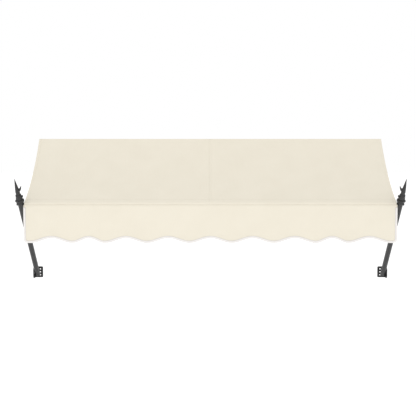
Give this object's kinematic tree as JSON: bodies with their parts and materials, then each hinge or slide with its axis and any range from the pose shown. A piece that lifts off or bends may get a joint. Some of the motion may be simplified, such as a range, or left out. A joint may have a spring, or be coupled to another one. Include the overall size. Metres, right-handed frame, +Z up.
{
  "type": "fixed spear awning",
  "caption": "Open-sided linen canvas window awning with a scalloped valance on two black spear arms.",
  "frame": {"origin": "back face of the middle wall clip, on the wall plane, at the height of the head rail's centre", "axes": "+X to the right along the front bar seen from the street, +Y into the wall, +Z up"},
  "size_m": [1.9886, 0.5205, 0.7795],
  "materials": {
    "linen_canvas": "plain-weave linen-coloured awning canvas, matt",
    "white_binding": "white woven binding tape",
    "black_steel": "satin black powder coat on steel",
    "black_casting": "satin black coat on a casting",
    "mill_aluminium": "mill-finish extrusion",
    "zinc_steel": "zinc-plated steel",
    "black_plastic": "moulded black plastic"
  },
  "bodies": {
    "root": {"canopy_panel_left": "linen_canvas", "canopy_panel_right": "linen_canvas", "valance": "linen_canvas", "valance_binding": "white_binding", "front_bar": "black_steel", "arm_tube_left": "black_steel", "arm_tube_right": "black_steel", "arm_bolt_left": "black_steel", "arm_bolt_right": "black_steel", "bar_spacer_left": "black_steel", "bar_spacer_right": "black_steel", "wall_bracket_left": "black_steel", "wall_bracket_right": "black_steel", "pivot_bolt_left": "black_steel", "pivot_bolt_right": "black_steel", "spear_screw_left": "black_steel", "spear_screw_right": "black_steel", "arm_foot_left": "black_casting", "arm_foot_right": "black_casting", "collar_left": "black_casting", "collar_right": "black_casting", "spear_head_left": "black_casting", "spear_head_right": "black_casting", "head_rail": "mill_aluminium", "wall_clip_left": "zinc_steel", "wall_clip_centre": "zinc_steel", "wall_clip_right": "zinc_steel", "rail_screw_left": "zinc_steel", "rail_screw_centre": "zinc_steel", "rail_screw_right": "zinc_steel", "pivot_washer_left": "zinc_steel", "pivot_washer_right": "zinc_steel", "rail_cap_left": "black_plastic", "rail_cap_right": "black_plastic", "bar_plug_left": "black_plastic", "bar_plug_right": "black_plastic"}
  },
  "joints": []
}
